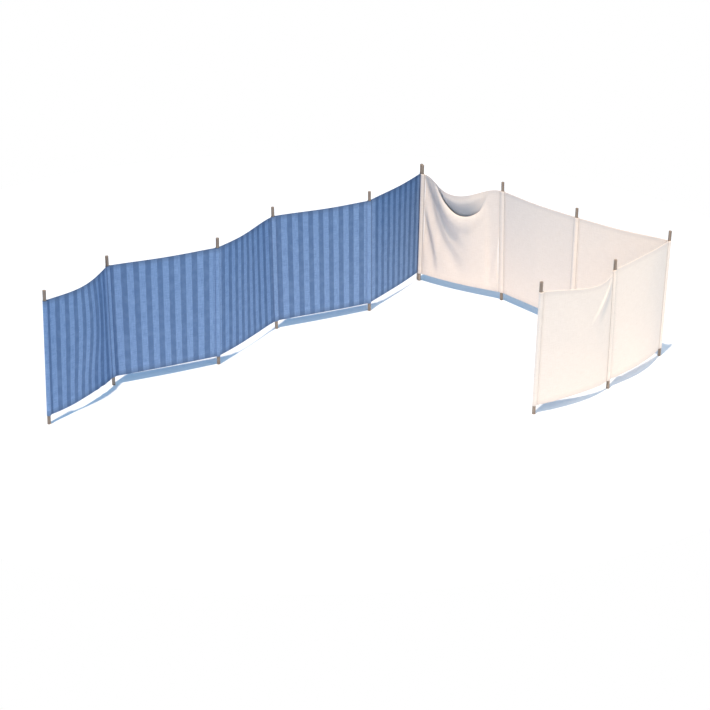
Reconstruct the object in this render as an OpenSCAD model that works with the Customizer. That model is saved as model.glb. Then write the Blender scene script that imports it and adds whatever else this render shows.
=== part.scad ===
// Beach windbreak: a striped blue cloth and a plain cream cloth, each five bays long on six
// poles, put up end to end as one screen. The blue half zigzags and the cream half turns back
// on itself into a shelter. Millimetres, +Z up, +X and +Y on the ground.
// The origin is the foot of blue pole 6, where the blue cloth ends and the cream one begins.

/* [Poles] */
// Diameter of each round wooden pole
pole_d = 35; // [25:1:42]
// Length of each pole from the ground to its top
pole_h = 1395; // [1330:5:1800]
// Bevel round each pole's flat top
pole_bevel = 3; // [1:0.5:6]

/* [Cloth] */
// Height of both cloths, from lower hem to upper hem
cloth_h = 1200; // [900:10:1220]
// Gap between the ground and the lower hem
foot_gap = 90; // [40:5:100]
// Thickness of the cloth
cloth_t = 2; // [1.5:0.25:3]
// Height of the doubled hems
hem_h = 32; // [16:2:60]

/* [Pole pockets] */
// Room between a pole and the pocket round it
pocket_clear = 0.3; // [0.3:0.05:1]
// Distance from the round of a pocket to the seam that closes it
seam_out = 12; // [8:1:20]
// Width of the flat sewn edge past that seam
seam_w = 12; // [6:1:24]

/* [Length of the bays] */
// Length of cloth in one bay, from pole to pole when it is pulled straight
bay_len = 1175; // [1100:5:1250]
// How much closer the poles of each blue bay stand than its cloth is long
blue_slack = [105, 10, 45, 30, 40]; // [5:5:200]
// How much closer the poles of each cream bay stand than its cloth is long
cream_slack = [85, 70, 60, 110, 155]; // [5:5:200]

/* [Blue line on the ground] */
// Heading of each blue bay from +X, from the free end to the meeting poles, in degrees
blue_heading = [61, 28, 60, 28, 60]; // [0:1:90]

/* [Cream line on the ground] */
// Heading of each cream bay from +X, from the meeting poles to the free end, in degrees
cream_heading = [-33, -51, -39, -127, -142]; // [-180:1:0]
// Heading from the last blue pole to the first cream pole, in degrees
meet_heading = -72; // [-90:1:-50]
// Room between the two pockets that stand side by side
meet_clear = 0.3; // [0.3:0.1:40]

/* [Lean of the poles] */
// Lean of each blue pole's top towards +X and +Y, in degrees
blue_lean = [[1.2, -0.1], [-0.5, 0.1], [0.7, 0], [-1.2, -0.2], [-0.5, -0.2], [0.6, 0]]; // [-2:0.1:2]
// Lean of each cream pole's top towards +X and +Y, in degrees
cream_lean = [[0.6, 0], [-1.4, 0.2], [0, 0], [0.9, 0.2], [-0.1, -0.1], [0.7, 0.2]]; // [-2:0.1:2]

/* [Blue cloth] */
// Angle by which each blue bay leaves its first pole, towards the sheltered side, in degrees
blue_leave = [13, 2, 4, 2, 2]; // [-20:1:30]
// Angle by which it comes in to its second pole, from the sheltered side, in degrees
blue_arrive = [17, 3, -2, 2, 3]; // [-20:1:30]
// Extra bulge of each upper hem towards the sheltered side
blue_top_bulge = [15, 0, 8, 0, 0]; // [-80:1:80]
// Extra bulge of each lower hem towards the sheltered side
blue_foot_bulge = [-25, 0, 4, 0, 0]; // [-80:1:80]
// Drop of each upper hem at the middle of its bay
blue_sag = [6, 8, 8, 8, 8]; // [0:2:200]
// Depth of the upright gathers beside each second pole
blue_gather = [9, 0, 3, 0, 0]; // [0:1:14]

/* [Cream cloth] */
// Angle by which each cream bay leaves its first pole, towards the sheltered side, in degrees
cream_leave = [8, 2, 1, -8, -15]; // [-30:1:30]
// Angle by which it comes in to its second pole, from the sheltered side, in degrees
cream_arrive = [4, 2, 1, -6, -12]; // [-30:1:30]
// Extra bulge of each upper hem towards the sheltered side
cream_top_bulge = [0, 8, 0, 33, -35]; // [-80:1:80]
// Extra bulge of each lower hem towards the sheltered side
cream_foot_bulge = [0, 0, 0, -60, -35]; // [-80:1:80]
// Where the deepest place lies: 1 is half way along the bay, less is nearer to its first pole
cream_skew = [0.86, 1, 1, 1, 0.62]; // [0.5:0.01:2]
// Drop of each upper hem at its deepest place
cream_sag = [134, 8, 12, 6, 60]; // [0:2:220]
// Rise of each lower hem at the middle of its bay
cream_lift = [0, 0, 0, 30, 18]; // [0:2:60]

/* [Cowl of the slack bay] */
// Depth of the forward roll below the straight line of the upper hem, at its deepest place
cowl_drop = 372; // [300:2:450]
// Height of cloth taken up between the roll and the pocket behind it
cowl_lift = 85; // [60:1:100]
// Half the height of the turn between them
cowl_half = 55; // [45:1:75]
// How far the slack hem stands forward of the straight line
cowl_lip = 60; // [30:1:100]
// How far the bottom of the pocket stands behind it
cowl_back = 12; // [0:1:40]
// How far the roll stands forward of it
cowl_out = 36; // [30:1:80]

/* [Hidden] */

last = 5;                                        // index of a cloth's last pole
pocket_in = pole_d / 2 + pocket_clear;           // inner radius of a pocket
pocket_out = pocket_in + cloth_t;                // outer radius of a pocket
seam_r = pocket_out + seam_out;                  // pole axis to the pocket's seam
fin_end = seam_r + seam_w;                       // pole axis to the end of the sewn edge
root_share = 0.97;                               // where the pocket's flanks start inside its round
bezier_reach = 0.36;                             // handle length as a share of the bay
hem_step = 1.5;                                  // height of the step where a hem ends
gather_from = 0.55;                              // where the gathers start along a bay
gather_waves = 3.5;                              // number of upright waves
cowl_ends = [0.10, 0.32, 0.58, 0.84];            // where the cowl opens and closes along its bay
cowl_middle = 0.52;                              // where its roll lies deepest
cowl_bend = 2.4;                                 // how fast the roll rises to both sides, in bay lengths
cowl_band = [0.6, 24];                           // height from which its mesh is finer, and its rows
blue = "#6d8cc0";
cream = "#f3e6dc";
wood = "#94826f";

// Unit vector on the ground at a heading
function along(a) = [cos(a), sin(a), 0];

// Feet of the poles, each one a bay less its slack away from its neighbour
function blue_foot(i) =
    i == last ? [0, 0, 0] : blue_foot(i + 1) - (bay_len - blue_slack[i]) * along(blue_heading[i]);
function cream_foot(i) =
    i == 0 ? (2 * pocket_out + meet_clear) * along(meet_heading)
           : cream_foot(i - 1) + (bay_len - cream_slack[i - 1]) * along(cream_heading[i - 1]);
blue_poles = [for (i = [0 : last]) [blue_foot(i), blue_lean[i]]];
cream_poles = [for (i = [0 : last]) [cream_foot(i), cream_lean[i]]];

// A vector of a pole's own upright frame, turned by the pole's lean
function tilt(l, v) =
    v.x * [cos(l.x), 0, -sin(l.x)]
    + v.y * [-sin(l.x) * sin(l.y), cos(l.y), -cos(l.x) * sin(l.y)]
    + v.z * [sin(l.x) * cos(l.y), sin(l.y), cos(l.x) * cos(l.y)];

// Shape of one bay: its poles, heading, end angles, bulges, sag and lift, gather, skew, and mesh
// columns and rows, in the order that the functions below unpack them. The blue bulges are
// round-shouldered, which skew 0 stands for.
function bay_blue(i) =
    [blue_poles[i], blue_poles[i + 1], blue_heading[i], [blue_leave[i], blue_arrive[i]],
     [blue_foot_bulge[i], blue_top_bulge[i]], [blue_sag[i], 0], blue_gather[i], 0,
     blue_gather[i] > 0 ? [32, 9] : [14, 8]];
function bay_cream(i) =
    [cream_poles[i], cream_poles[i + 1], cream_heading[i], [cream_leave[i], cream_arrive[i]],
     [cream_foot_bulge[i], cream_top_bulge[i]], [cream_sag[i], cream_lift[i]], 0, cream_skew[i],
     i == 0 ? [30, 5] : [16, 10]];

// Headings in which a bay's two pockets hold out their sewn edges
function first_fin(b) = b[2] - b[3][0];
function second_fin(b) = b[2] + b[3][1] + 180;

// Smooth step from 0 to 1, and a smooth hill from 0 to 1 and back
function clamp01(x) = min(1, max(0, x));
function smooth(x) = let (c = clamp01(x)) c * c * (3 - 2 * c);
function hill(u) = 16 * pow(u * (1 - u), 2);

// Cubic curve through four control points
function bezier(a, b, c, d, u) =
    pow(1 - u, 3) * a + 3 * u * pow(1 - u, 2) * b + 3 * u * u * (1 - u) * c + pow(u, 3) * d;

// Plan line of a bay at height z: it leaves both pockets in line with their sewn edges
function plan_line(b, z, u) =
    let (p = b[0], q = b[1],
         away = tilt(p[1], along(first_fin(b))),
         back = tilt(q[1], along(second_fin(b))),
         start = p[0] + fin_end * away + tilt(p[1], [0, 0, z]),
         end = q[0] + fin_end * back + tilt(q[1], [0, 0, z]),
         reach = bezier_reach * norm(end - start))
    bezier(start, start + reach * away, end + reach * back, end, u);

// Upright waves that grow beside the second pole and upwards, and end below the upper hem
function gathers(depth, u, v) =
    let (s = clamp01((u - gather_from) / (1 - gather_from)))
    depth * (0.4 + 0.6 * v) * (1 - pow(v, 8)) * hill(s) * sin(360 * gather_waves * s);

// Place along the bay from which its bulge and sag are taken
function skewed(b, u) = b[7] == 0 ? u : pow(u, b[7]);
function bulge(b, u) = let (w = skewed(b, u)) b[7] == 0 ? hill(u) : 4 * w * (1 - w);

// A place u along a bay's straight line and v up it, out towards the sheltered side
function placed(b, u, v, out) =
    plan_line(b, foot_gap + cloth_h * v, u) + out * [sin(b[2]), -cos(b[2]), 0];

// Middle of the cloth at u along the bay and v up it
function cloth_mid(b, u, v) =
    placed(b, u, v, (b[4][0] * (1 - v) + b[4][1] * v) * bulge(b, u) + gathers(b[6], u, v))
    - [0, 0, b[5][0] * hill(skewed(b, u)) * v * v - b[5][1] * hill(u) * pow(1 - v, 2)];

// How far the cowl is open at u along its bay: 0 is shut and 1 is fully open
function cowl_open(u) =
    smooth((u - cowl_ends[0]) / (cowl_ends[1] - cowl_ends[0]))
    * smooth((cowl_ends[3] - u) / (cowl_ends[3] - cowl_ends[2]));

// Middle of the slack bay's cloth. With t the length of cloth below the upper hem, the depth runs
// from the hem's sag to the lower hem, less a wave that lifts the cloth over the roll and drops
// it into the pocket behind. Forward it goes from the hem back down the pocket, then out to the
// roll, and dies away to the foot.
function cowl_mid(b, u, v) =
    let (t = cloth_h * (1 - v),
         open = cowl_open(u),
         sag = b[5][0] * hill(skewed(b, u)),
         roll = cowl_drop - cowl_bend * bay_len * pow(u - cowl_middle, 2),
         turn = (roll + 0.95 * cowl_lift * open - sag) / (1 - sag / cloth_h) - 0.8 * cowl_half,
         x = (t - turn) / cowl_half,
         wave = 1.65 * cowl_lift * open * x * exp(-x * x / 2) * (1 - exp(-pow(t / 60, 2))),
         depth = sag + (cloth_h - sag) * t / cloth_h - wave,
         over = 1 / (1 + exp(-x / 0.3)),
         pocket = cowl_lip - (cowl_lip + cowl_back) * smooth(t / max(turn - cowl_half, 50)),
         front = cowl_out * (1 - smooth((t - turn) / (cloth_h - turn))))
    placed(b, u, 1 - depth / cloth_h, open * (pocket * (1 - over) + front * over));

// Middle of any bay's cloth, where shape 1 is the cowl's
function middle(b, shape, u, v) = shape == 1 ? cowl_mid(b, u, v) : cloth_mid(b, u, v);

// Direction square to the cloth, and at the ends square to the pocket's sewn edge
function cloth_normal(b, shape, u, v) =
    u == 0 ? tilt(b[0][1], along(first_fin(b) - 90)) :
    u == 1 ? tilt(b[1][1], along(second_fin(b) + 90)) :
    let (e = 0.004,
         du = middle(b, shape, u + e / 2, v) - middle(b, shape, u - e / 2, v),
         dv = middle(b, shape, u, min(1, v + e)) - middle(b, shape, u, max(0, v - e)),
         n = cross(du, dv))
    n / norm(n);

// One bay of cloth: two faces a thickness apart, doubled at the hems, closed round the rim
module bay(b, shape = 0) {
    cols = b[8][0];
    rows = b[8][1];
    hem = hem_h / cloth_h;
    step = hem_step / cloth_h;
    low = hem + step;
    split = shape == 1 ? cowl_band[0] : 1 - low;
    inner = [for (j = [1 : rows]) low + (split - low) * j / rows];
    band = [for (j = [1 : cowl_band[1]]) split + (1 - low - split) * j / cowl_band[1]];
    heights = concat([0, hem, low], inner, shape == 1 ? band : [], [1 - hem, 1]);
    top = len(heights) - 1;
    function half(j) = j < 2 || j > top - 2 ? cloth_t : cloth_t / 2;
    faces_pts = [for (s = [1, -1]) for (j = [0 : top]) for (i = [0 : cols])
        let (u = i / cols, v = heights[j])
        middle(b, shape, u, v) + s * half(j) * cloth_normal(b, shape, u, v)];
    row = cols + 1;
    back = row * (top + 1);
    function at(i, j) = j * row + i;
    function quad(a, b, c, d) = [[a, b, c], [a, c, d]];
    skin = concat(
        [for (j = [0 : top - 1]) for (i = [0 : cols - 1])
            each quad(at(i, j), at(i, j + 1), at(i + 1, j + 1), at(i + 1, j))],
        [for (j = [0 : top - 1]) for (i = [0 : cols - 1])
            each quad(back + at(i, j), back + at(i + 1, j), back + at(i + 1, j + 1), back + at(i, j + 1))],
        [for (i = [0 : cols - 1])
            each quad(at(i, 0), at(i + 1, 0), back + at(i + 1, 0), back + at(i, 0))],
        [for (i = [0 : cols - 1])
            each quad(at(i + 1, top), at(i, top), back + at(i, top), back + at(i + 1, top))],
        [for (j = [0 : top - 1])
            each quad(at(0, j + 1), at(0, j), back + at(0, j), back + at(0, j + 1))],
        [for (j = [0 : top - 1])
            each quad(at(cols, j), at(cols, j + 1), back + at(cols, j + 1), back + at(cols, j))]);
    polyhedron(points = faces_pts, faces = skin, convexity = 10);
}

// Puts what is drawn upright at a pole's foot into the pole's own lean
module on_pole(p) {
    translate(p[0]) rotate([-p[1].y, p[1].x, 0]) children();
}

// A round pole with a bevelled flat top, cut off level with the ground
module pole(p) {
    r = pole_d / 2;
    difference() {
        on_pole(p) rotate_extrude($fn = 64)
            polygon([[0, -r], [r, -r], [r, pole_h - pole_bevel], [r - pole_bevel, pole_h], [0, pole_h]]);
        translate(p[0] - [pole_d, pole_d, pole_d]) cube([2 * pole_d, 2 * pole_d, pole_d]);
    }
}

// Flanks of a pocket: from the round of radius r to a point in line with its bay
module flanks(r, tip) {
    a = acos(r / tip);
    root = root_share * r;
    polygon([[tip, 0], [root * cos(a), root * sin(a)], [root * cos(a), -root * sin(a)]]);
}

// A pocket sewn round its pole, with a flat doubled edge towards each bay that it carries
module pocket(p, fins) {
    on_pole(p) translate([0, 0, foot_gap]) linear_extrude(height = cloth_h) difference() {
        union() {
            circle(r = pocket_out, $fn = 64);
            for (f = fins) rotate(f) {
                flanks(pocket_out, seam_r);
                translate([pocket_in, -cloth_t]) square([fin_end - pocket_in, 2 * cloth_t]);
            }
        }
        circle(r = pocket_in, $fn = 64);
        for (f = fins) rotate(f) flanks(pocket_in, seam_r * pocket_in / pocket_out);
    }
}

// Sewn edges of the pocket at pole i, towards the bay before it and the bay after it
function fins(bays, i) =
    [if (i > 0) second_fin(bays[i - 1]), if (i < last) first_fin(bays[i])];
blue_bays = [for (i = [0 : last - 1]) bay_blue(i)];
cream_bays = [for (i = [0 : last - 1]) bay_cream(i)];

module blue_pole(i) color(wood) pole(blue_poles[i]);
module blue_pocket(i) color(blue) pocket(blue_poles[i], fins(blue_bays, i));
module blue_bay(i) color(blue) bay(blue_bays[i]);
module cream_pole(i) color(wood) pole(cream_poles[i]);
module cream_pocket(i) color(cream) pocket(cream_poles[i], fins(cream_bays, i));
module cream_bay(i) color(cream) bay(cream_bays[i], i == 0 ? 1 : 0);

for (i = [0 : last]) {
    blue_pole(i);
    blue_pocket(i);
    cream_pole(i);
    cream_pocket(i);
}
for (i = [0 : last - 1]) {
    blue_bay(i);
    cream_bay(i);
}
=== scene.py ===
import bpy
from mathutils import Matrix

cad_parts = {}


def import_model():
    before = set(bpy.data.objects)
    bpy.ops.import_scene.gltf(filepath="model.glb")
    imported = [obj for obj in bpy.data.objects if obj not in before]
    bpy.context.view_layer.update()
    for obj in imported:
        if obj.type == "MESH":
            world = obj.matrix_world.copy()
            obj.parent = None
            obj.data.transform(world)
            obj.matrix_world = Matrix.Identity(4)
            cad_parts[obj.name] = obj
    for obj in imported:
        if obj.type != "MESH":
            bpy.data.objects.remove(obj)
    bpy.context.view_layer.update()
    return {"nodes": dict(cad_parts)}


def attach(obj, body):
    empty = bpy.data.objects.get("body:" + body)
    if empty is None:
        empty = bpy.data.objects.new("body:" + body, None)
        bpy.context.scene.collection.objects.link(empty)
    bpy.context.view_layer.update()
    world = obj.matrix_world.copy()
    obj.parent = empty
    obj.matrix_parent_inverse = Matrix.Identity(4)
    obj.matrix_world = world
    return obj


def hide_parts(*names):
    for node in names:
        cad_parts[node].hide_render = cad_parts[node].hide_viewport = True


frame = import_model()

import math
from typing import NamedTuple

import bpy
import numpy as np
from bpy.props import FloatProperty, FloatVectorProperty, IntProperty, PointerProperty
from mathutils import Matrix, Vector

bl_info = {
    "name": "Beach windbreak",
    "version": (1, 0, 0),
    "blender": (4, 5, 0),
    "location": "View3D > Sidebar > Windbreak",
    "description": "Cloth, poles and stage of a beach windbreak, built round its packed frame",
    "category": "Add Mesh",
}

POLES = 6               # poles of each cloth
CLOTH_HEIGHT = 1.200    # lower hem to upper hem
FOOT_GAP = 0.090        # ground to lower hem
POLE_HEIGHT = 1.395     # ground to pole top
POLE_RADIUS = 0.0175    # of a new pole, from which wear takes a little
POCKET_RADIUS = 0.0188  # middle of the cloth round a pole
SEAM_REACH = 0.0318     # pole axis to the seam that closes a pocket
FIN_END = 0.0438        # pole axis to the end of the sewn edge
SEAM_AT = FIN_END - SEAM_REACH      # end of the sewn edge to the seam
BAY_CLOTH = 1.175       # cloth between two poles, cut flat
BAY_FLAT = BAY_CLOTH - 2 * FIN_END  # the part of it between the sewn edges


# Poles and bays, read from the frame

class Pole(NamedTuple):
    """A pole's foot on the ground and its own three axes."""
    foot: np.ndarray
    east: np.ndarray
    north: np.ndarray
    up: np.ndarray


def unit(v):
    """A vector, or each vector of an array, scaled to length 1."""
    return v / np.linalg.norm(v, axis=-1, keepdims=True)


def node_points(name):
    """Corners of a CAD node's mesh as an array."""
    mesh = frame["nodes"][name].data
    co = np.empty(len(mesh.vertices) * 3)
    mesh.vertices.foreach_get("co", co)
    return co.reshape(-1, 3)


GROUND_LEVEL = 1e-4     # points below this height stand on the ground
TOP_DEPTH = 0.01        # how far a leaning pole's highest ring reaches down


def read_pole(name):
    """The pole's axis: from the middle of its level foot to the middle of its highest ring."""
    points = node_points(name)
    foot = points[points[:, 2] < GROUND_LEVEL]
    head = points[points[:, 2] > POLE_HEIGHT - TOP_DEPTH]
    foot, head = ((ring.min(0) + ring.max(0)) / 2 for ring in (foot, head))
    up = unit(head - foot)
    east = unit(np.array([up[2], 0.0, -up[0]]))
    return Pole(foot, east, np.cross(up, east), up)


class Bay(NamedTuple):
    """How one bay of cloth hangs. Sideways lengths are positive towards its own right side."""
    leave: float                # angle at its first pole, in degrees
    arrive: float               # angle at its second pole
    top_bulge: float = 0.0      # hill along the upper hem
    foot_bulge: float = 0.0     # hill along the lower hem
    top_belly: float = 0.0      # parabola along the upper hem
    foot_belly: float = 0.0     # parabola along the lower hem
    sag: float = 0.008          # how far the upper hem hangs down
    lift: float = 0.0           # how far the lower hem is drawn up
    skew: float = 1.0           # over 1 moves the belly and sag towards the second pole
    gather: float = 0.0         # size of the gathers beside the second pole
    ripple: float = 0.0         # size of the bulge in the height
    stripes: float = 0.0        # where the pattern starts on the cloth's map
    painted_shade: float = 0.0           # painted shade: how much darker the blue is made, most along its top, about 0 to 1


BAYS = {
    "blue": (Bay(13, 17, 0.026, -0.012, sag=0.006, gather=0.009, ripple=0.020, stripes=0.015),
             Bay(2, 3, stripes=0.012),
             Bay(4, -2, 0.008, 0.004, gather=0.003, stripes=-0.047, painted_shade=0.6),
             Bay(2, 2, stripes=-0.014, painted_shade=0.25),
             Bay(2, 3, stripes=0.018, painted_shade=1.1)),
    "cream": (Bay(8, 4),
              Bay(2, 2, top_belly=0.008),
              Bay(1, 1, sag=0.012),
              Bay(-8, -6, top_belly=0.013, foot_belly=-0.035, sag=-0.003, lift=0.019),
              Bay(-15, -12, top_belly=-0.055, foot_belly=-0.012, sag=0.051, lift=0.016, skew=0.62)),
}
SLACK_BAY = ("cream", 0)        # the bay that rolls over in a cowl
CREASED_BAY = ("cream", 4)      # the bay with the tension crease
POLE_OF = {cloth: [read_pole(f"{cloth}_pole_{i + 1}") for i in range(POLES)] for cloth in BAYS}


def heading(a, b):
    """Heading of the ground line between two poles, in radians."""
    x, y = (b.foot - a.foot)[:2]
    return math.atan2(y, x)


def fin_angle(cloth, i, side):
    """Heading in which pole i's pocket holds out its sewn edge: side 1 to the next bay, -1 back."""
    poles = POLE_OF[cloth]
    if side > 0:
        return heading(poles[i], poles[i + 1]) - math.radians(BAYS[cloth][i].leave)
    return heading(poles[i - 1], poles[i]) + math.radians(BAYS[cloth][i - 1].arrive) + math.pi


# Surfaces. Along a bay u runs from 0 to 1, and up it v does. Lengths are in metres.

def smooth(x):
    """3x^2 - 2x^3, held at 0 and 1 outside its step."""
    x = np.clip(x, 0, 1)
    return x * x * (3 - 2 * x)


def hill(u):
    """16 u^2 (1-u)^2: from 0 to 1 and back, level at both ends."""
    return 16 * (u * (1 - u)) ** 2


def half_sine(x):
    """sin(pi x), held at 0 outside 0 to 1."""
    return np.sin(math.pi * np.clip(x, 0, 1))


def ground_dir(pole, angle):
    """Unit vector square to a pole, in the pole's own frame at an angle."""
    return math.cos(angle) * pole.east + math.sin(angle) * pole.north


def ruled_bay(cloth, i, u, v):
    """Cubic curve in u between two poles, ruled up them in v.

    S = (1-u)^3 A + 3u(1-u)^2 (A + rP) + 3u^2(1-u) (B + rQ) + u^3 B, where A and B lie on the
    ends of the two pockets' sewn edges, P and Q point out along those edges, and r is 0.36 |B-A|.
    """
    a, b = POLE_OF[cloth][i:i + 2]
    away = ground_dir(a, fin_angle(cloth, i, 1))
    back = ground_dir(b, fin_angle(cloth, i + 1, -1))
    z = (FOOT_GAP + CLOTH_HEIGHT * v)[..., None]
    start = a.foot + FIN_END * away + z * a.up
    end = b.foot + FIN_END * back + z * b.up
    handle = 0.36 * np.linalg.norm(end - start, axis=-1, keepdims=True)
    u = u[..., None]
    return ((1 - u) ** 3 * start + 3 * u * (1 - u) ** 2 * (start + handle * away)
            + 3 * u ** 2 * (1 - u) * (end + handle * back) + u ** 3 * end)


def bay_side(cloth, i):
    """Level unit vector square to a bay's ground line, towards its right side."""
    angle = heading(*POLE_OF[cloth][i:i + 2])
    return np.array([math.sin(angle), -math.cos(angle), 0.0])


CREASE_SLOPE = 1.12             # metres down the cloth for each metre along it
CREASE_LEAN = 1.50              # length of such a step, down and along
CREASE_SHIFT = 0.028            # distance of the crease's line from the corner
CREASE_HEIGHT, CREASE_REACH = 0.013, 0.44   # how high it stands, and how far along the bay
CREASE_SLOW, CREASE_SHARP = 0.070, 0.015    # half-widths on the pole's side and on the other
SHADE_DEPTH, SHADE_REACH = 0.44, 0.35       # tone of its shade, and how far along the bay
SHADE_FROM_LINE, SHADE_HALF = 0.090, 0.062  # from the crease's line to its middle, half its width


def crease_place(u, v):
    """Metres across the crease's line, positive towards the pole, and metres along it.

    With x along the bay and t down from its upper hem, across is (t - slope x) / lean + shift,
    and along, counted in x, is x + 0.4 across.
    """
    x, t = u * BAY_CLOTH, (1 - v) * CLOTH_HEIGHT
    across = (t - CREASE_SLOPE * x) / CREASE_LEAN + CREASE_SHIFT
    return across, x + 0.4 * across


def crease(u, v):
    """A fold that runs down and away from the first pole's upper corner.

    Its height is a half sine along its line, to the power 0.8. Across it the height falls as
    exp(-|across / half-width|^1.4), slowly on the pole's side and sharply on the other.
    """
    across, along = crease_place(u, v)
    width = np.where(across > 0, CREASE_SLOW, CREASE_SHARP)
    size = CREASE_HEIGHT * half_sine(along / CREASE_REACH) ** 0.8
    return size * np.exp(-np.abs(across / width) ** 1.4)


def crease_shade(u, v):
    """Shade on the pole's side of the crease: a half sine along it and a gaussian across it."""
    across, along = crease_place(u, v)
    return (SHADE_DEPTH * half_sine(along / SHADE_REACH)
            * np.exp(-((across - SHADE_FROM_LINE) / SHADE_HALF) ** 2))


WAVES, WAVE_HEIGHT = 7, 0.0013  # how many, and the height of each for every metre of its length
SHORT_WAVE, LONG_WAVE = 0.22, 0.60      # between which their lengths lie


def unevenness(u, v, seed):
    """A sum of sines in random directions, the longer the higher, dying away at both pockets."""
    chance = np.random.default_rng(seed)
    total = 0
    for _ in range(WAVES):
        angle, phase = chance.uniform(0, math.pi), chance.uniform(0, 2 * math.pi)
        length = chance.uniform(SHORT_WAVE, LONG_WAVE)
        along = u * BAY_CLOTH * math.cos(angle) + v * CLOTH_HEIGHT * math.sin(angle)
        total = total + length * np.sin(2 * math.pi * along / length + phase)
    return WAVE_HEIGHT * total * np.sqrt(hill(u)) * (1 - 0.7 * v ** 6)


GATHERS_FROM = 0.55             # where the gathers start along the bay
GATHERS = 7                     # how many there are, forward and back
RIPPLE_LENGTH, RIPPLE_CREST = 1.1, 0.62     # shares of the cloth's height


def hung_bay(cloth, i, u, v):
    """The ruled bay, moved sideways by its bulge, belly and gathers, and down by its sag.

    The bulge is a hill along the bay and the belly a parabola, each running from its foot's size
    to its top's. The gathers are a sine that grows beside the second pole and fades at the hem,
    and the ripple is a cosine of the height.
    """
    bay = BAYS[cloth][i]
    w = u ** bay.skew
    push = (bay.foot_bulge * (1 - v) + bay.top_bulge * v) * hill(u)
    push = push + (bay.foot_belly * (1 - v) + bay.top_belly * v) * 4 * w * (1 - w)
    s = np.clip((u - GATHERS_FROM) / (1 - GATHERS_FROM), 0, 1)
    folds = hill(s) * np.sin(GATHERS * math.pi * s)
    push = push + bay.gather * (0.4 + 0.6 * v) * (1 - v ** 8) * folds
    turn = 2 * math.pi * (v - RIPPLE_CREST) / RIPPLE_LENGTH
    push = push + bay.ripple * np.cos(turn) * hill(u ** 1.4)
    push = push + unevenness(u, v, seed=i + (10 if cloth == "cream" else 0))
    if (cloth, i) == CREASED_BAY:
        push = push - crease(u, v)
    points = ruled_bay(cloth, i, u, v) + push[..., None] * bay_side(cloth, i)
    points[..., 2] -= bay.sag * hill(w) * v ** 2 - bay.lift * hill(u) * (1 - v) ** 2
    return points


COWL_SAG = 0.134                # sag of the slack upper hem
COWL_CREST, COWL_MIDDLE = 0.374, 0.54   # depth of the roll, and where along the bay it is lowest
COWL_LEFT, COWL_RIGHT = 2.20, 1.70      # how steeply the roll climbs to each side of that
COWL_START, COWL_RISE = 0.07, 0.28      # where the cowl begins, and the length of its step up
COWL_STOP, COWL_FADE = 0.88, 0.26       # where it ends, and the length of its step down
COWL_LIFT, COWL_HALF = 0.085, 0.055     # height of the turned cloth, and half its length
COWL_LIP = 0.060                # how far forward the hem stands
COWL_WALL = -0.012              # how far forward the wall behind the roll stands at its bottom
COWL_ROLL, COWL_FULL = 0.036, 0.022     # how far forward the roll stands, and its fuller front


class Swag(NamedTuple):
    """A fold of the slack bay along the curve t = line + slope u + bend u^2, t metres down.

    It is width metres wide, leans lean degrees, and shows from start to end along the bay, after
    a step up as long as rise and before a step down as long as fade.
    """
    line: float
    slope: float
    bend: float
    width: float
    lean: float
    start: float
    rise: float
    end: float
    fade: float


SWAGS = (
    Swag(0.070, 1.20, -0.40, 0.090, 17, -0.02, 0.05, 0.36, 0.26),
    Swag(0.150, 2.00, -1.20, 0.095, 14, 0.02, 0.12, 0.36, 0.26),
    Swag(0.470, 3.30, -3.00, 0.110, 16, -0.02, 0.06, 0.10, 0.14),
    Swag(5.100, -4.50, 0.00, 0.160, -6, 0.76, 0.12, 0.99, 0.04),
)


def swag_angle(u, t):
    """Lean of the cloth, in radians forward, t metres below its upper hem.

    Each swag leans back on its curve and less, but for longer, forward below it, both gaussian.
    """
    angle = 0
    for swag in SWAGS:
        shown = smooth((u - swag.start) / swag.rise) * (1 - smooth((u - swag.end) / swag.fade))
        across = (t - swag.line - swag.slope * u - swag.bend * u * u) / swag.width
        dip = 0.45 * np.exp(-((across - 2.2) / 1.7) ** 2) - np.exp(-across ** 2)
        angle = angle + math.radians(swag.lean) * shown * dip
    return angle


def cowl_turn(u, v):
    """The cowl's t, opened, sag, middle and x at each place.

    t is the cloth's length below its hem, opened a step up and a step down along the bay, and sag
    a hill along it. Middle is the t at which the cloth turns: it follows the roll's crest, a
    parabola that is steeper on the first pole's side. x is t - middle in half lengths of the turn.
    """
    t = CLOTH_HEIGHT * (1 - v)
    opened = smooth((u - COWL_START) / COWL_RISE) * smooth((COWL_STOP - u) / COWL_FADE)
    sag = COWL_SAG * hill(u ** 0.86)
    crest = COWL_CREST - np.where(u < COWL_MIDDLE, COWL_LEFT, COWL_RIGHT) * (u - COWL_MIDDLE) ** 2
    turn = (crest + 0.95 * COWL_LIFT * opened - sag) / (1 - sag / CLOTH_HEIGHT)
    middle = turn - 0.8 * COWL_HALF
    return t, opened, sag, middle, (t - middle) / COWL_HALF


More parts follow.
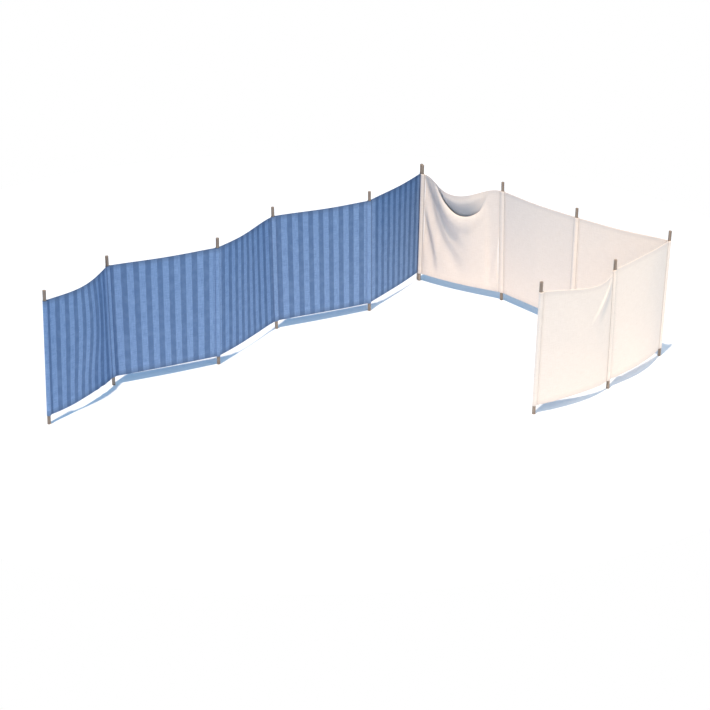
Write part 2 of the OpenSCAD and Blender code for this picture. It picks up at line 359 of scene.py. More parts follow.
def cowl_bay(cloth, i, u, v):
    """The ruled bay with its slack hem sagging behind a roll of cloth.

    Depth below the straight top line runs from the hem's sag to the lower hem, less a wave
    x exp(-x^2 / 2), none at the hem, that lifts the cloth over the roll and drops it into the
    pocket behind. The distance forward is that of the wall, even at first and then a step back,
    which passes to that of the front as tanh x does. The front is the roll, dying away to the
    foot, and a gaussian fullness below its crest. The running sum of the swags' lean is added.
    """
    t, opened, sag, middle, x = cowl_turn(u, v)
    wave = 1.65 * COWL_LIFT * opened * x * np.exp(-x * x / 2) * (1 - np.exp(-(t / 0.06) ** 2))
    depth = sag + (CLOTH_HEIGHT - sag) * t / CLOTH_HEIGHT - wave
    over = 0.5 + 0.5 * np.tanh(x / np.where(x < 0, 0.6, 1.3))
    down = t / np.maximum(middle - COWL_HALF, 0.05)
    wall = COWL_LIP + (COWL_WALL - COWL_LIP) * smooth((down - 0.35) / 0.65)
    front = COWL_ROLL * (1 - smooth((t - middle) / (CLOTH_HEIGHT - middle)))
    front = front + COWL_FULL * np.exp(-(x - 1.8) ** 2)
    out = opened ** 0.7 * (wall * (1 - over) + front * over)
    lean = np.cumsum(np.sin(swag_angle(u, t))[::-1], 0)[::-1] * CLOTH_HEIGHT / (len(v) - 1)
    out = out + lean - lean[0] * t / CLOTH_HEIGHT
    points = ruled_bay(cloth, i, u, 1 - depth / CLOTH_HEIGHT)
    return points + out[..., None] * bay_side(cloth, i)


GATHER_PAINTED_SHADE = 80                # painted shade for each metre of gather


def fading(bay, u, v):
    """Painted shade on a bay: most along its top and in its gathers, none at its pockets."""
    tone = bay.painted_shade * (0.45 + 0.55 * v * v) + GATHER_PAINTED_SHADE * bay.gather * smooth((u - 0.45) / 0.45)
    return tone * smooth(u / 0.10) * smooth((1 - u) / 0.05)


def painted_cowl_shade(u, v):
    """Painted shade in the cowl's pocket: a step below the hem, ended before the roll."""
    t, opened, _, middle, x = cowl_turn(u, v)
    inside = 0.5 - 0.5 * np.tanh((x + 0.7) / 0.4)
    return opened ** 1.2 * smooth((t / middle - 0.10) / 0.48) * inside


def bay_painted_shade(cloth, i, u, v):
    """The painted shade of one bay's cloth, on the side its normals point to and on the other side.

    It is painted shade in the cowl's pocket on the first, painted shade beside the crease on the
    second, or else the painted shade along the top and in the gathers on both.
    """
    if (cloth, i) == SLACK_BAY:
        return np.outer((1, 0), painted_cowl_shade(u, v)).ravel()
    if (cloth, i) == CREASED_BAY:
        return np.outer((0, 1), crease_shade(u, v)).ravel()
    return np.tile(fading(BAYS[cloth][i], u, v).ravel(), 2)


def bay_surface(cloth, i, u, v):
    """The middle of one bay's cloth."""
    hang = cowl_bay if (cloth, i) == SLACK_BAY else hung_bay
    return hang(cloth, i, u, v)


PLAIN_HALF, POCKET_HEM_HALF, BAY_HEM_HALF = 0.5, 0.75, 0.8  # in thicknesses of the cotton


def half_thickness(height, settings, hem_half):
    """Half the cloth's thickness at a height above its lower hem, more at its doubled hems."""
    edge = np.minimum(height, CLOTH_HEIGHT - height)
    return settings.thickness * np.where(edge < settings.hem, hem_half, PLAIN_HALF)


def grid(cols, rows):
    """Two arrays of u and v, each rows + 1 by cols + 1."""
    return np.meshgrid(np.linspace(0, 1, cols + 1), np.linspace(0, 1, rows + 1))


def sheet_normals(points):
    """Unit cross product of the two grid directions."""
    return unit(np.cross(np.gradient(points, axis=1), np.gradient(points, axis=0)))


# Meshes

def grid_faces(rows, cols, first=0, wrap=False):
    """Quads of a grid of rows by cols points, counted from `first`; wrap joins the last column."""
    index = first + np.arange(rows * cols).reshape(rows, cols)
    if wrap:
        index = np.hstack([index, index[:, :1]])
    a, b, c, d = index[:-1, :-1], index[:-1, 1:], index[1:, 1:], index[1:, :-1]
    return np.stack([a, b, c, d], -1).reshape(-1, 4)


def new_mesh(name, points, faces, uv=None, **attributes):
    """A mesh object from points and lists of corners; uv and attributes have a value per point."""
    mesh = bpy.data.meshes.new(name)
    mesh.from_pydata(points, [], faces)
    if uv is not None:
        corner = np.empty(len(mesh.loops), dtype=np.int32)
        mesh.loops.foreach_get("vertex_index", corner)
        mesh.uv_layers.new(name="cloth").data.foreach_set("uv", uv[corner].ravel())
    for key, values in attributes.items():
        kind, field = ("FLOAT", "value") if values.ndim == 1 else ("FLOAT_VECTOR", "vector")
        mesh.attributes.new(key, kind, "POINT").data.foreach_set(field, values.ravel())
    mesh.polygons.foreach_set("use_smooth", [True] * len(mesh.polygons))
    mesh.update()
    obj = bpy.data.objects.new(name, mesh)
    bpy.context.collection.objects.link(obj)
    return obj


def shell(points, uv, half):
    """A closed cloth from a grid: two faces at `half` each side of it, and a rim all round."""
    rows, cols = points.shape[:2]
    offset = sheet_normals(points) * half[..., None]
    front = grid_faces(rows, cols)
    back = grid_faces(rows, cols, rows * cols)[:, ::-1]
    index = np.arange(rows * cols).reshape(rows, cols)
    loop = np.concatenate([index[0, :], index[1:, -1], index[-1, -2::-1], index[-2:0:-1, 0]])
    after = np.roll(loop, -1)
    rim = np.stack([after, loop, loop + rows * cols, after + rows * cols], -1)
    both = np.concatenate([points + offset, points - offset]).reshape(-1, 3)
    return both, np.concatenate([front, back, rim]), np.concatenate([uv, uv]).reshape(-1, 2)


def join_parts(parts):
    """Several (points, faces, uv) put into one set of arrays."""
    points, faces, uv = zip(*parts)
    first = np.cumsum([0] + [len(p) for p in points])
    faces = [f + count for f, count in zip(faces, first)]
    return np.concatenate(points), np.concatenate(faces), np.concatenate(uv)


# Shader nodes

class Wire:
    """A shader socket whose arithmetic adds Math nodes."""

    def __init__(self, tree, socket):
        self.tree, self.socket = tree, socket

    def maths(self, operation, *others):
        """A Math node of this wire and any other wires or numbers."""
        return self.tree.maths(operation, self, *others)

    def output(self, key):
        """Another output of the same node."""
        return Wire(self.tree, self.socket.node.outputs[key])

    def __add__(self, other):
        return self.maths("ADD", other)

    def __sub__(self, other):
        return self.maths("SUBTRACT", other)

    def __rsub__(self, other):
        return self.tree.maths("SUBTRACT", other, self)

    def __mul__(self, other):
        return self.maths("MULTIPLY", other)

    def __truediv__(self, other):
        return self.maths("DIVIDE", other)

    def __rtruediv__(self, other):
        return self.tree.maths("DIVIDE", other, self)

    __radd__, __rmul__ = __add__, __mul__


class Tree:
    """A node tree to which nodes are added."""

    def __init__(self, node_tree):
        self.node_tree = node_tree

    def feed(self, socket, value):
        """Links a wire to a socket, or sets the socket to a plain value."""
        if isinstance(value, Wire):
            self.node_tree.links.new(value.socket, socket)
        else:
            socket.default_value = value

    def node(self, kind, settings, sockets, out=0):
        """Adds a node: its settings first, then the values or links of its sockets."""
        made = self.node_tree.nodes.new(kind)
        for key, value in settings.items():
            if key == "stops":
                ramp = made.color_ramp
                for place, (position, colour) in enumerate(value):
                    stop = ramp.elements[place] if place < 2 else ramp.elements.new(position)
                    stop.position, stop.color = position, colour
            else:
                setattr(made, key, value)
        for key, value in sockets.items():
            self.feed(made.inputs[key], value)
        return Wire(self, made.outputs[out])

    def maths(self, operation, *values):
        """A Math node of wires or numbers."""
        return self.node("ShaderNodeMath", {"operation": operation}, dict(enumerate(values)))


class Finish(Tree):
    """A material under construction, round its Principled shader."""

    def __init__(self, name, **sockets):
        self.material = bpy.data.materials.new(name)
        self.material.use_nodes = True
        super().__init__(self.material.node_tree)
        for key, value in sockets.items():
            self.shade(key.replace("_", " "), value)

    def shade(self, key, value):
        """Feeds one of the shader's own sockets."""
        self.feed(self.node_tree.nodes["Principled BSDF"].inputs[key], value)

    def mix(self, factor, first, second, blend="MIX"):
        """Mixes two colours."""
        return self.node("ShaderNodeMix", {"data_type": "RGBA", "blend_type": blend},
                         {0: factor, 6: first, 7: second}, out=2)

    def noise(self, vector, scale, detail=3.0, rough=0.5, seed=0.0):
        """Four-dimensional noise of a vector, from about 0.3 to 0.7."""
        return self.node("ShaderNodeTexNoise", {"noise_dimensions": "4D"},
                         {"Vector": vector, "W": seed, "Scale": scale, "Detail": detail,
                          "Roughness": rough})

    def stretch(self, vector, scale):
        """A vector scaled along its three axes."""
        return self.node("ShaderNodeMapping", {}, {"Vector": vector, "Scale": scale})

    def attribute(self, name, out=2):
        """A number of the mesh's points, or with out 1 a vector of them."""
        return self.node("ShaderNodeAttribute", {"attribute_name": name}, {}, out)

    def fall(self, value, start, end, kind="LINEAR"):
        """1 up to the start, falling to 0 at the end."""
        return self.node("ShaderNodeMapRange", {"interpolation_type": kind}, {
            "Value": value, "From Min": start, "From Max": end, "To Min": 1.0, "To Max": 0.0})

    def wave(self, x, period):
        """Sine of a length, from 0 to 1."""
        return (x * (2 * math.pi / period)).maths("SINE") * 0.5 + 0.5

    def bump(self, height, distance, strength):
        """Feeds the shader's normal from a height."""
        self.shade("Normal", self.node("ShaderNodeBump", {}, {
            "Height": height, "Distance": distance, "Strength": strength}))


def linear(level):
    """A display level from 0 to 255 as linear light from 0 to 1."""
    share = level / 255
    return share / 12.92 if share <= 0.04045 else ((share + 0.055) / 1.055) ** 2.4


def rgba(*levels):
    """A colour's three display levels as linear light, fully opaque."""
    return (*map(linear, levels), 1.0)


HEM_SHADE_FROM, HEM_SHADE_FULL = 0.062, 0.012   # distances from the edge of the cloth
THREAD_PERIOD = 0.0024          # one thread up and the next one down
HEM_LINE, SEAM_LINE = 0.007, 0.003      # half-widths of the painted shade along the upper hem's edge, and of a seam line with painted shade beside it
STRIPE_CYCLE = 0.1275           # one dark stripe and one light one
STRIPE_EDGE = 0.0275, 0.0325    # from a dark stripe's middle to its edge's start and end
FINE_LINES = 0.0085             # period of the fine lines in a dark stripe
PLAIN_PAST = 0.020, 0.025       # from a sewn edge's end: the stripes fade out over this
EDGE_WANDER = 0.010             # how far the slubs shift a stripe's edge

COTTON = {"Roughness": 0.92, "Specular_IOR_Level": 0.15}
BLUE_SLUBS, CREAM_SLUBS = rgba(99, 128, 171), rgba(232, 214, 199)
BLUE_CLOUDS, CREAM_CLOUDS = rgba(146, 174, 212), rgba(245, 229, 217)
BLUE_HEMS, CREAM_HEMS = rgba(84, 102, 130), rgba(224, 209, 200)
# seam lines: stitching, with painted shade of the crevice beside it
BLUE_SEAMS_AND_SHADE, CREAM_SEAMS_AND_SHADE = rgba(54, 78, 122), rgba(150, 132, 120)
# painted shade of the rolled upper hem's edge
PAINTED_HEM_EDGE_SHADE = rgba(40, 56, 84)
PAINTED_SHADE_BLUE = (0.64, 0.745, 0.84, 1)         # painted shade: what it leaves of red, green and blue
# painted shade in the cowl's pocket and beside the crease
PAINTED_SHADE_CREAM = rgba(190, 189, 190)
TIMBER = ((0.32, rgba(102, 84, 72)), (0.5, rgba(152, 134, 120)), (0.68, rgba(188, 172, 158)))


def cloth_coordinates(finish):
    """The cloth's own map as a vector, and the metres along it and up it."""
    uv = finish.node("ShaderNodeUVMap", {"uv_map": "cloth"}, {})
    x = finish.node("ShaderNodeSeparateXYZ", {}, {0: uv})
    return uv, x, x.output(1)


def threads(finish, uv, seed):
    """Slubs along both directions of thread, and soft unevenness, each about 0.3 to 0.7."""
    weft = finish.noise(finish.stretch(uv, (11, 150, 1)), 1.0, rough=0.6, seed=seed)
    warp = finish.noise(finish.stretch(uv, (150, 11, 1)), 1.0, rough=0.6, seed=seed + 1)
    cloud = finish.noise(uv, 12.0, detail=4.0, rough=0.6, seed=seed + 2)
    return weft, warp, cloud


def hem_shade(finish, y):
    """1 at both edges of the cloth, fading out over its doubled hems and a little past them."""
    middle = CLOTH_HEIGHT / 2
    return finish.node("ShaderNodeMapRange", {}, {
        "Value": (y - middle).maths("ABSOLUTE"), "From Min": middle - HEM_SHADE_FROM,
        "From Max": middle - HEM_SHADE_FULL})


def thin_line(finish, place, middle, half):
    """1 on a thin line across one coordinate, fading out from 0.6 to 1.2 of its half width."""
    return finish.fall((place - middle).maths("ABSOLUTE"), half * 0.6, half * 1.2)


def weave_bump(finish, x, y, weft, warp):
    """Plain weave: a product of two sines, roughened by the slubs."""
    weave = finish.wave(x, THREAD_PERIOD) * finish.wave(y, THREAD_PERIOD)
    finish.bump(weave * 0.5 + weft * 1.2 + warp * 0.8, distance=0.0010, strength=0.5)


def blue_cotton(name, bay, settings):
    """Light blue cotton with darker stripes of fine lines, plain round the poles."""
    finish = Finish(name, **COTTON)
    uv, x, y = cloth_coordinates(finish)
    weft, warp, cloud = threads(finish, uv, 2.0)
    place = ((x / STRIPE_CYCLE + 0.5).maths("FRACT") - 0.5) * STRIPE_CYCLE
    wander = (warp - 0.5) * EDGE_WANDER
    band = finish.fall((place + wander).maths("ABSOLUTE"), *STRIPE_EDGE, "SMOOTHSTEP")
    band = band * (finish.wave(x, FINE_LINES) * 0.20 + 0.84)
    if not bay:
        inset = finish.attribute("inset")
        band = band * finish.fall(inset, *PLAIN_PAST)
    colour = finish.mix(band, (*settings.light_blue, 1), (*settings.dark_blue, 1))
    colour = finish.mix((weft + warp) * 1.9 - 1.60, colour, BLUE_SLUBS)
    colour = finish.mix(cloud - 0.44, colour, BLUE_CLOUDS)
    colour = finish.mix(hem_shade(finish, y) * 0.46, colour, BLUE_HEMS)
    # painted shade along the upper hem's rolled edge
    painted_hem_edge_shade = thin_line(finish, y, CLOTH_HEIGHT, HEM_LINE)
    colour = finish.mix(painted_hem_edge_shade * 0.6, colour, PAINTED_HEM_EDGE_SHADE)
    if bay:
        # painted shade on the blue bays, along their tops and in their gathers
        colour = finish.mix(finish.attribute("tone"), colour, PAINTED_SHADE_BLUE, "MULTIPLY")
    else:
        # the seam line: stitching, with painted shade of the crevice beside it
        seam = thin_line(finish, inset, SEAM_AT, SEAM_LINE)
        colour = finish.mix(seam * 0.7, colour, BLUE_SEAMS_AND_SHADE)
    finish.shade("Base Color", colour)
    weave_bump(finish, x, y, weft, warp)
    return finish.material


def cream_cotton(name, bay, settings):
    """Undyed cotton with slubs, greyed by painted shade in the cowl's pocket and beside the crease.
    """
    finish = Finish(name, **COTTON)
    uv, x, y = cloth_coordinates(finish)
    weft, warp, cloud = threads(finish, uv, 11.0)
    colour = finish.mix(weft + warp - 0.86, (*settings.cream, 1), CREAM_SLUBS)
    colour = finish.mix((cloud - 0.44) * 0.7, colour, CREAM_CLOUDS)
    colour = finish.mix(hem_shade(finish, y) * 0.42, colour, CREAM_HEMS)
    if bay:
        # painted shade: the tone greys the cream in the cowl's pocket and beside the crease
        colour = finish.mix(finish.attribute("tone"), colour, PAINTED_SHADE_CREAM)
    else:
        # the seam line: stitching, with painted shade of the crevice beside it
        seam = thin_line(finish, finish.attribute("inset"), SEAM_AT, SEAM_LINE)
        colour = finish.mix(seam * 0.6, colour, CREAM_SEAMS_AND_SHADE)
    finish.shade("Base Color", colour)
    weave_bump(finish, x, y, weft, warp)
    return finish.material


def pole_timber():
    """Weathered softwood: grain stretched along the pole, grey over brown."""
    finish = Finish("pole_timber", Roughness=0.8, Specular_IOR_Level=0.25)
    grain = finish.attribute("grain", out=1)
    fine = finish.noise(finish.stretch(grain, (420, 420, 9)), 1.0, detail=5.0)
    broad = finish.noise(finish.stretch(grain, (70, 70, 2.2)), 1.0, seed=4.0)
    tone = finish.node("ShaderNodeValToRGB", {"stops": TIMBER}, {0: fine * 0.6 + broad * 0.4})
    finish.shade("Base Color", tone)
    finish.bump(fine + broad * 0.4, distance=0.0008, strength=0.7)
    return finish.material


# Settings

class WindbreakCloth(bpy.types.PropertyGroup):
    """Sizes and colours of the cloth."""
    thickness: FloatProperty(name="Thickness", description="Thickness of the cotton",
                             default=0.0012, min=0.0004, max=0.003, subtype="DISTANCE",
                             unit="LENGTH")
    hem: FloatProperty(name="Hem", description="Height of the doubled hems", default=0.032,
                       min=0.01, max=0.08, subtype="DISTANCE", unit="LENGTH")
    columns: IntProperty(name="Columns", description="Mesh columns across a bay", default=110,
                         min=20, max=200)
    light_blue: FloatVectorProperty(name="Light blue", description="Ground of the striped cloth",
                                    default=rgba(143, 170, 210)[:3], subtype="COLOR", min=0, max=1)
    dark_blue: FloatVectorProperty(name="Dark blue", description="Stripes of the striped cloth",
                                   default=rgba(96, 121, 158)[:3], subtype="COLOR", min=0, max=1)
    cream: FloatVectorProperty(name="Cream", description="Colour of the undyed cloth",
                               default=rgba(253, 238, 226)[:3], subtype="COLOR", min=0, max=1)


class WindbreakStage(bpy.types.PropertyGroup):
    """Lights and floor."""
    sun: FloatProperty(name="Sun", description="Strength of the sun lamp", default=3.2, min=0,
                       max=10)
    sun_tint: FloatVectorProperty(name="Sun colour", description="Colour of the sun lamp",
                                  default=(1.0, 0.84, 0.66), subtype="COLOR", min=0, max=1)
    sky: FloatProperty(name="Sky", description="Strength of the light from all round",
                       default=0.67, min=0, max=3)
    sky_tint: FloatVectorProperty(name="Sky colour", description="Colour of the light all round",
                                  default=(0.43, 0.70, 1.0), subtype="COLOR", min=0, max=1)
    fill: FloatProperty(name="Fill", description="Power of the soft lamp on the right",
                        default=67, min=0, max=1000, unit="POWER")
    fill_tint: FloatVectorProperty(name="Fill colour", description="Colour of the soft lamp",
                                   default=(1.0, 0.82, 0.56), subtype="COLOR", min=0, max=1)
    floor: FloatProperty(name="Floor", description="Radius of the white floor", default=6.0,
                         min=4, max=60, subtype="DISTANCE", unit="LENGTH")


# Pieces

def finish_piece(obj, material, node):
    """Puts a piece on the frame in place of its CAD node."""
    obj.data.materials.append(material)
    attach(obj, "root")
    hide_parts(node)


POLE_RINGS, POLE_SIDES = 48, 32     # rings up to its worn edge, and points round each
WORN_EDGE = 0.003               # height and depth of a pole's rounded top edge
TOP_RINGS = 0.55, 0.25, 0.02    # rings on its flat top, in pole radii


def pole_mesh(pole, name, phase):
    """A surface of revolution round the pole's axis, a little out of round, with a worn top edge.

    Radius = R (0.992 + small sines of angle and height), less a quarter circle at the top edge.
    """
    turn = np.linspace(0.3, math.pi / 2, 5)
    shoulder = POLE_HEIGHT - WORN_EDGE
    profile = np.concatenate([np.linspace(0, shoulder, POLE_RINGS),
                              shoulder + WORN_EDGE * np.sin(turn),
                              np.full(len(TOP_RINGS), POLE_HEIGHT)])
    shrink = np.concatenate([np.ones(POLE_RINGS),
                             1 - WORN_EDGE / POLE_RADIUS * (1 - np.cos(turn)), TOP_RINGS])
    angle = np.linspace(0, 2 * math.pi, POLE_SIDES, endpoint=False)
    a, z = np.meshgrid(angle, profile)
    wobble = (0.004 * np.sin(2 * a + phase) + 0.004 * np.sin(9 * z + phase)
              + 0.003 * np.sin(3 * a - 5 * z))
    r = POLE_RADIUS * shrink[:, None] * (0.992 + wobble)
    local = np.stack([r * np.cos(a), r * np.sin(a), z], -1)
    points = (pole.foot + local[..., :1] * pole.east + local[..., 1:2] * pole.north
              + local[..., 2:] * pole.up)
    points[0, :, 2] = 0.0       # the foot stands level on the ground
    rows, cols = a.shape
    faces = grid_faces(rows, cols, wrap=True).tolist()
    caps = [list(range(cols))[::-1], list(range((rows - 1) * cols, rows * cols))]
    grain = local.reshape(-1, 3) + [phase, 0.37 * phase, 2.1 * phase]
    return new_mesh(name, points.reshape(-1, 3), faces + caps, grain=grain)


class Fin(NamedTuple):
    """A pocket's sewn edge: its heading, and its end's place on the cloth's map.

    Run is 1 or -1, the way in which the map runs from there round the pole.
    """
    angle: float
    place: float
    run: int


def pocket_fins(cloth, i):
    """The sewn edges of one pocket: to the next bay, and back to the one before."""
    fins = []
    if i < POLES - 1:
        fins.append(Fin(fin_angle(cloth, i, 1), BAYS[cloth][i].stripes, -1))
    if i > 0:
        fins.append(Fin(fin_angle(cloth, i, -1), BAY_FLAT + BAYS[cloth][i - 1].stripes, 1))
    return fins


FIN_HALF = 0.0011               # sewn edge's middle to the middle of either cloth in it
FIN_STEPS = np.array([FIN_END, FIN_END - 0.006, SEAM_REACH + 0.002])    # from end to seam
ARC_POINTS = 8                  # for each radian of the round, before the points are evened out
SLEEVE_STEP = 0.003             # distance between points round a pocket
SLEEVE_ROWS = 91
PUCKER, PUCKERS = 0.0004, 260   # size of the puckers, and radians of them in the cloth's height


def fin_line(angle, along, across):
    """Points on a line from the pole's axis at a heading, moved across it."""
    return np.stack([along * math.cos(angle) - across * math.sin(angle),
                     along * math.sin(angle) + across * math.cos(angle)], -1)


def sleeve_line(start, end):
    """One side of a pocket in plan, from one sewn edge round the pole to the next, anticlockwise.

    Straight along the first edge to the seam, a straight flank to the round, the round itself,
    and the same again to the second edge, as points evenly spaced. Angles are in radians.
    """
    lean = math.acos(POCKET_RADIUS / SEAM_REACH)
    sweep = (end - start) % (2 * math.pi) or 2 * math.pi
    arc = np.linspace(start + lean, start + sweep - lean, max(3, int(sweep * ARC_POINTS)))
    line = np.concatenate([fin_line(start, FIN_STEPS, FIN_HALF),
                           POCKET_RADIUS * np.stack([np.cos(arc), np.sin(arc)], -1),
                           fin_line(start + sweep, FIN_STEPS[::-1], -FIN_HALF)])
    length = np.concatenate([[0], np.cumsum(np.linalg.norm(np.diff(line, axis=0), axis=1))])
    even = np.linspace(0, length[-1], int(length[-1] / SLEEVE_STEP) + 1)
    return np.stack([np.interp(even, length, line[:, k]) for k in (0, 1)], -1), even


def sleeve_part(pole, start, end, settings, phase):
    """One side of a pocket, its plan carried up the pole between two sewn edges.

    Slight puckers are a product of a sine up the pocket and one round it. Gives the shell's
    arrays, the distance of each point from the nearer edge, and the width of the side.
    """
    line, along = sleeve_line(start.angle, end.angle)
    width = along[-1]
    a, v = np.meshgrid(along, np.linspace(0, 1, SLEEVE_ROWS))
    pucker = PUCKER * np.sin(v * PUCKERS + phase) * np.sin(a / width * math.pi * 2)
    plan = line[None] + unit(line)[None] * pucker[..., None]
    height = CLOTH_HEIGHT * v
    points = (pole.foot + plan[..., :1] * pole.east + plan[..., 1:] * pole.north
              + (FOOT_GAP + height)[..., None] * pole.up)
    half = half_thickness(height, settings, POCKET_HEM_HALF)
    rest = width - a
    x = np.where(a < rest, start.place + start.run * a, end.place + end.run * rest)
    uv = np.stack([x, height], -1)
    return shell(points, uv, half), np.tile(np.minimum(a, rest).ravel(), 2), width


def cloth_material(cloth, use, settings):
    """The cotton of one cloth, for its bays or its pockets, made once."""
    name = f"{cloth}_cotton_{use}"
    make = blue_cotton if cloth == "blue" else cream_cotton
    return bpy.data.materials.get(name) or make(name, use == "bay", settings)


class WINDBREAK_OT_poles(bpy.types.Operator):
    """Turn the twelve poles and give them a weathered finish"""
    bl_idname = "windbreak.poles"
    bl_label = "Poles"

    def execute(self, context):
        timber = pole_timber()
        for cloth, poles in POLE_OF.items():
            for i, pole in enumerate(poles):
                node = f"{cloth}_pole_{i + 1}"
                phase = 1.3 * i + (0.7 if cloth == "cream" else 0.0)
                obj = pole_mesh(pole, f"{node}_turned", phase)
                finish_piece(obj, timber, node)
        return {"FINISHED"}


class WINDBREAK_OT_pockets(bpy.types.Operator):
    """Sew a pocket round each pole"""
    bl_idname = "windbreak.pockets"
    bl_label = "Pole pockets"

    def execute(self, context):
        settings = context.scene.windbreak_cloth
        for cloth, poles in POLE_OF.items():
            for i, pole in enumerate(poles):
                fins = pocket_fins(cloth, i)
                sides = [sleeve_part(pole, start, end, settings, i)
                         for start, end in zip(fins, fins[1:] + fins[:1])]
                parts, inset, widths = zip(*sides)
                points, faces, uv = join_parts(parts)
                node = f"{cloth}_pocket_{i + 1}"
                obj = new_mesh(f"{node}_sleeve", points, faces.tolist(), uv,
                               inset=np.concatenate(inset))
                cotton = cloth_material(cloth, "pocket", settings)
                finish_piece(obj, cotton, node)
                sum(widths)
                f"{cloth}_pole_{i + 1}_turned"
        return {"FINISHED"}


class WINDBREAK_OT_bays(bpy.types.Operator):
    """Hang the ten bays of cloth between the pockets"""
    bl_idname = "windbreak.bays"
    bl_label = "Cloth bays"

    def execute(self, context):
        settings = context.scene.windbreak_cloth
        for cloth, bays in BAYS.items():
            for i, bay in enumerate(bays):
                rows = settings.columns * (3 if (cloth, i) == SLACK_BAY else 1)
                u, v = grid(settings.columns, rows)
                height = v * CLOTH_HEIGHT
                half = half_thickness(height, settings, BAY_HEM_HALF)
                uv = np.stack([u * BAY_FLAT + bay.stripes, height], -1)
                points, faces, uv = shell(bay_surface(cloth, i, u, v), uv, half)
                node = f"{cloth}_bay_{i + 1}"
                # the tone attribute carries each bay's painted shade
                obj = new_mesh(f"{node}_cloth", points, faces.tolist(), uv,
                               tone=bay_painted_shade(cloth, i, u, v))
                cotton = cloth_material(cloth, "bay", settings)
                finish_piece(obj, cotton, node)
        return {"FINISHED"}


# Stage

PICTURE_WIDTH_PIXELS = 710
FOCAL_LENGTH_PIXELS = 1953.4
CAMERA_PLACE = (-0.723, -21.148, 8.150)
CAMERA_PITCH, CAMERA_ROLL = 23.316, 0.42    # degrees down, and degrees anticlockwise
FLOOR_SIDES = 96
FLOOR_MIDDLE = (-1.2, -1.2, 0.0)            # under the screen, near its middle
FLOOR_WHITE = (0.90, 0.92, 0.965, 1)        # a touch blue, as the sun is warm


def add_to_scene(name, data, placing):
    """A camera or lamp placed in the scene by a matrix."""
    obj = bpy.data.objects.new(name, data)
    bpy.context.collection.objects.link(obj)
    obj.matrix_world = placing
    return obj


def camera():
    """The photograph's view: a long lens, 21 m in front and 8 m up, looking down, hardly rolled."""
    data = bpy.data.cameras.new("camera")
    data.sensor_width = 36.0
    data.lens = FOCAL_LENGTH_PIXELS / PICTURE_WIDTH_PIXELS * data.sensor_width
    data.clip_end = 200.0
    pitch, roll = math.radians(CAMERA_PITCH), math.radians(CAMERA_ROLL)
    placing = (Matrix.Translation(CAMERA_PLACE) @ Matrix.Rotation(math.pi / 2 - pitch, 4, "X")
               @ Matrix.Rotation(roll, 4, "Z"))
    bpy.context.scene.camera = add_to_scene("camera", data, placing)


def floor(radius):
    """A round white floor that keeps the shadows."""
    angle = np.linspace(0, 2 * math.pi, FLOOR_SIDES, endpoint=False)
    ring = np.stack([np.cos(angle), np.sin(angle), 0 * angle], -1) * radius + FLOOR_MIDDLE
    obj = new_mesh("floor", ring, [list(range(FLOOR_SIDES))])
    finish = Finish("floor_white", Base_Color=FLOOR_WHITE, Roughness=1.0, Specular_IOR_Level=0.0)
    obj.data.materials.append(finish.material)


def world(strength, tint):
    """Light from all round on the object, plain white behind it and in reflections."""
    sky = bpy.data.worlds.new("sky")
    sky.use_nodes = True
    tree = Tree(sky.node_tree)
    background = tree.node_tree.nodes["Background"]
    tree.feed(background.inputs["Color"], (*tint, 1))
    tree.feed(background.inputs["Strength"], strength)
    white = tree.node("ShaderNodeBackground", {}, {"Color": (1, 1, 1, 1)})
    seen = tree.node("ShaderNodeLightPath", {}, {}, out="Is Camera Ray")
    glossy, through = seen.output("Is Glossy Ray"), seen.output("Is Transmission Ray")
    seen = seen.maths("MAXIMUM", glossy).maths("MAXIMUM", through)
    light = Wire(tree, background.outputs[0])
    surface = tree.node("ShaderNodeMixShader", {}, {0: seen, 1: light, 2: white})
    tree.feed(tree.node_tree.nodes["World Output"].inputs["Surface"], surface)
    bpy.context.scene.world = sky


def distant_lamp(name, strength, colour, size, toward, height):
    """A sun lamp shining in a compass direction from a height, angles in degrees."""
    data = bpy.data.lights.new(name, "SUN")
    data.energy, data.color, data.angle = strength, colour, math.radians(size)
    add_to_scene(name, data, Matrix.Rotation(math.radians(toward - 90), 4, "Z")
                 @ Matrix.Rotation(math.radians(90 - height), 4, "X"))


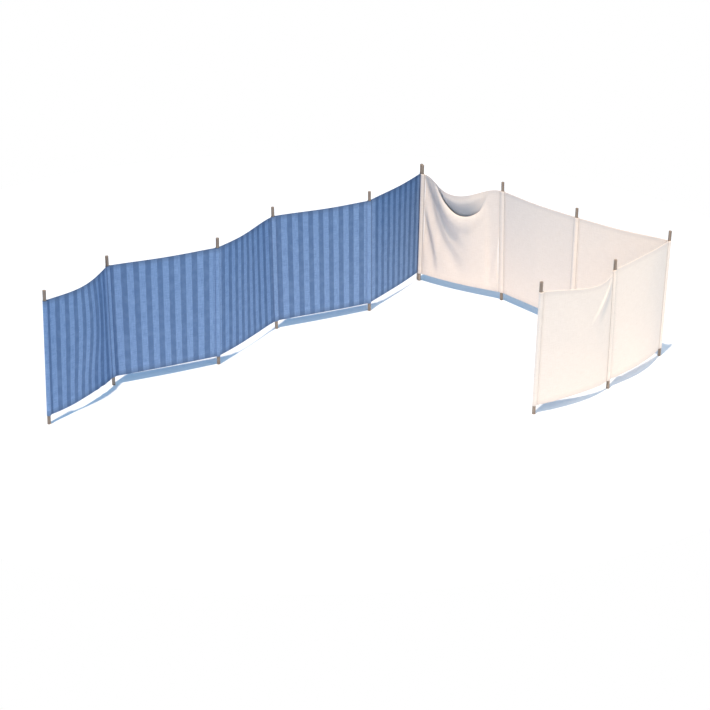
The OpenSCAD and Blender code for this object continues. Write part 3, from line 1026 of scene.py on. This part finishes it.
def soft_lamp(name, power, colour, size, place, aim):
    """A round area lamp of a size, at a place, shining at another."""
    data = bpy.data.lights.new(name, "AREA")
    data.shape, data.size, data.energy, data.color = "DISK", size, power, colour
    look = (Vector(aim) - Vector(place)).to_track_quat("-Z", "Y")
    add_to_scene(name, data, Matrix.Translation(place) @ look.to_matrix().to_4x4())


class WINDBREAK_OT_stage(bpy.types.Operator):
    """Set up the camera, floor and lights"""
    bl_idname = "windbreak.stage"
    bl_label = "Stage"

    def execute(self, context):
        stage = context.scene.windbreak_stage
        camera()
        floor(stage.floor)
        world(stage.sky, stage.sky_tint)
        distant_lamp("sun", stage.sun, stage.sun_tint, size=1.6, toward=63, height=76.5)
        soft_lamp("fill", stage.fill, stage.fill_tint, size=3.0, place=(3.8, -4.9, 3.5),
                  aim=(1.9, -2.8, 1.2))
        context.scene.view_settings.view_transform = "Standard"
        return {"FINISHED"}


class WINDBREAK_PT_panel(bpy.types.Panel):
    """Lists the settings and the steps"""
    bl_idname = "WINDBREAK_PT_panel"
    bl_label = "Beach windbreak"
    bl_space_type = "VIEW_3D"
    bl_region_type = "UI"
    bl_category = "Windbreak"

    def draw(self, context):
        for group in (context.scene.windbreak_cloth, context.scene.windbreak_stage):
            for name in group.__annotations__:
                self.layout.prop(group, name)
        for step in STEPS:
            self.layout.operator(step.bl_idname)


STEPS = (WINDBREAK_OT_stage, WINDBREAK_OT_poles, WINDBREAK_OT_pockets, WINDBREAK_OT_bays)
CLASSES = (WindbreakCloth, WindbreakStage, *STEPS, WINDBREAK_PT_panel)


def register():
    for cls in CLASSES:
        bpy.utils.register_class(cls)
    bpy.types.Scene.windbreak_cloth = PointerProperty(type=WindbreakCloth)
    bpy.types.Scene.windbreak_stage = PointerProperty(type=WindbreakStage)


def unregister():
    del bpy.types.Scene.windbreak_stage
    del bpy.types.Scene.windbreak_cloth
    for cls in reversed(CLASSES):
        bpy.utils.unregister_class(cls)


def main():
    """Registers the add-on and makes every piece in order."""
    register()
    bpy.ops.windbreak.stage()
    bpy.ops.windbreak.poles()
    bpy.ops.windbreak.pockets()
    bpy.ops.windbreak.bays()


if __name__ == "__main__":
    main()
